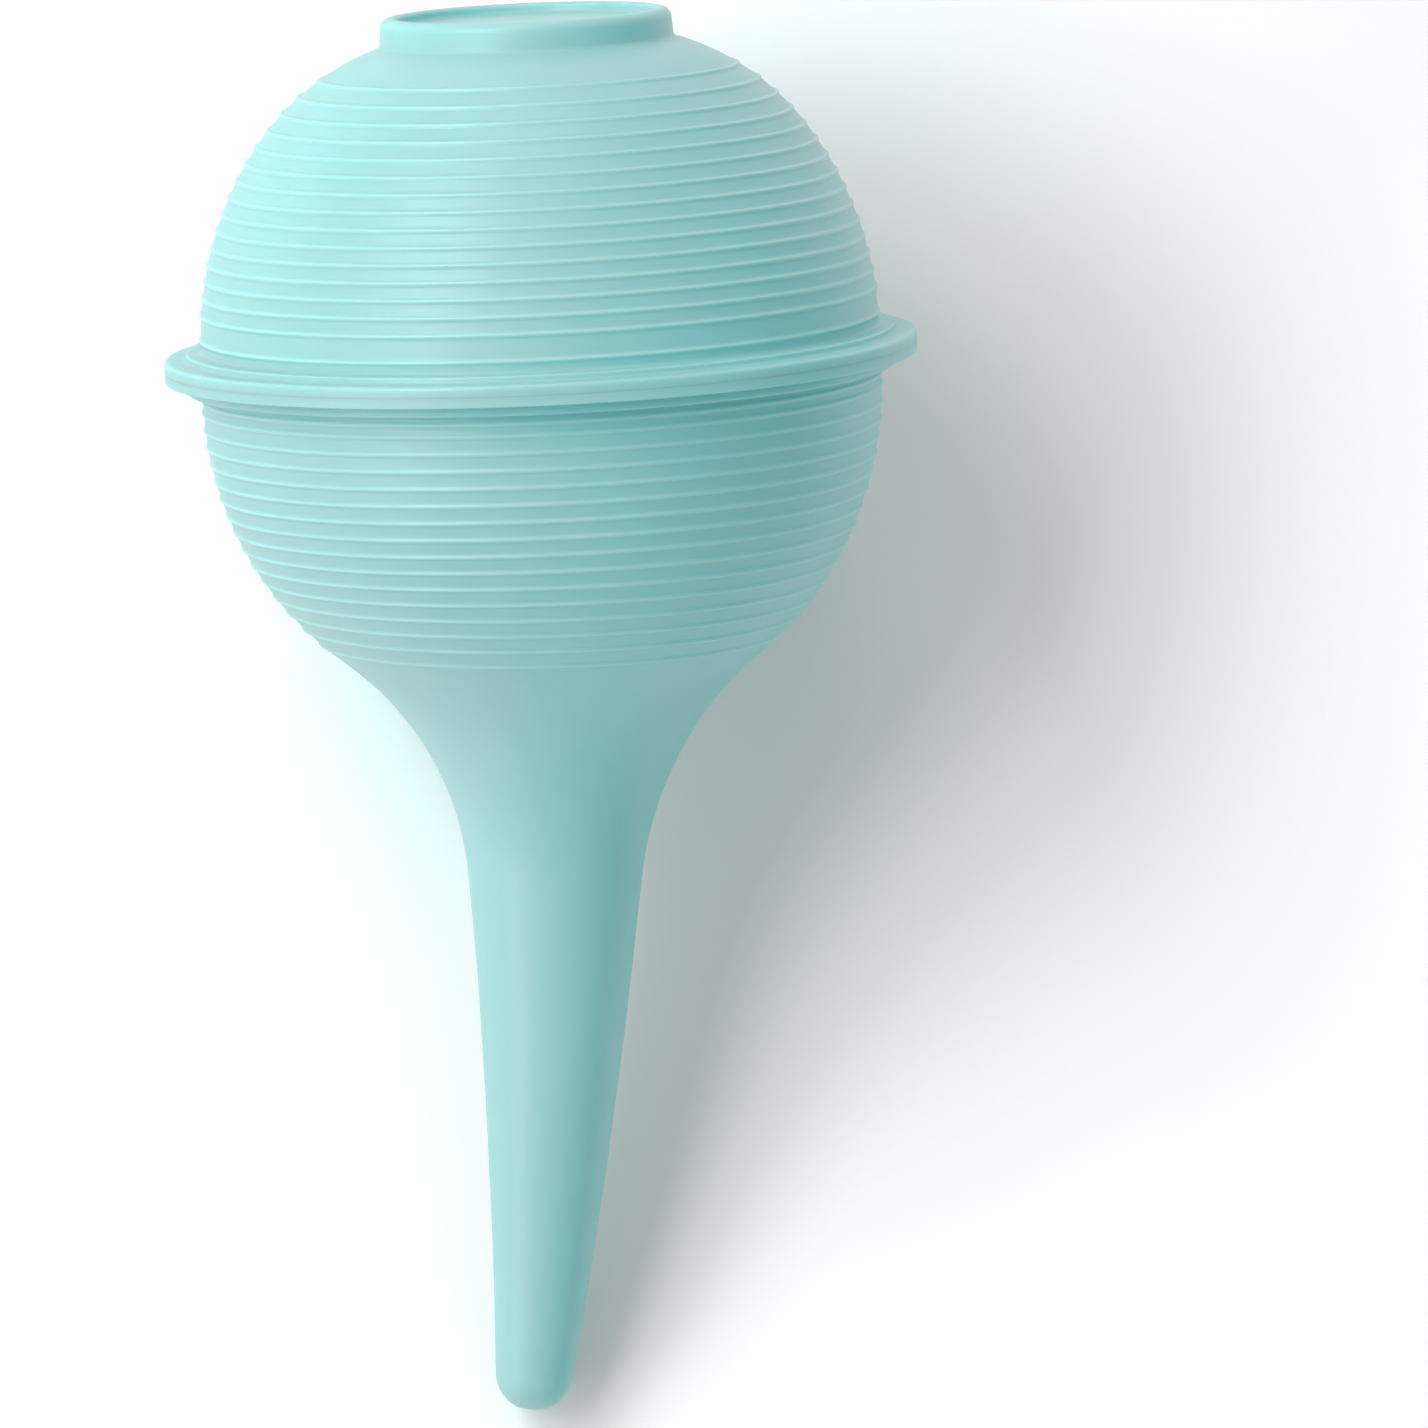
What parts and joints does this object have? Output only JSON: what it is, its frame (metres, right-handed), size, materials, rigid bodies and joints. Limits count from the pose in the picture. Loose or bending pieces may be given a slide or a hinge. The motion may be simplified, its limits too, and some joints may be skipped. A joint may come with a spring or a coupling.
{
  "type": "nasal aspirator",
  "caption": "Soft ribbed bulb syringe with a mid rim, a foot ring and a long hollow tapered nozzle; squeezing the bulb blows air out and letting go draws fluid in.",
  "frame": {"origin": "centre of the plane that the foot ring rests on, on the bulb's axis", "axes": "+Z along the bulb's axis from the foot ring to the nozzle; the nozzle's gentle set leans towards +X"},
  "size_m": [0.0572, 0.0572, 0.1079],
  "materials": {
    "soft_shell": "matte soft-touch teal, faintly translucent",
    "seam_cement": "satin, clear with a teal cast"
  },
  "bodies": {
    "front": {"front_shell": "soft_shell", "seam_bond": "seam_cement"},
    "back": {"back_shell": "soft_shell"}
  },
  "joints": [
    {"name": "bulb_squeeze", "type": "slide", "parent": "front", "child": "back", "axis": [0, 0, 1], "range_m": [0, 0.012], "stiffness_N_per_m": 900, "deforming": ["back_shell"]}
  ]
}
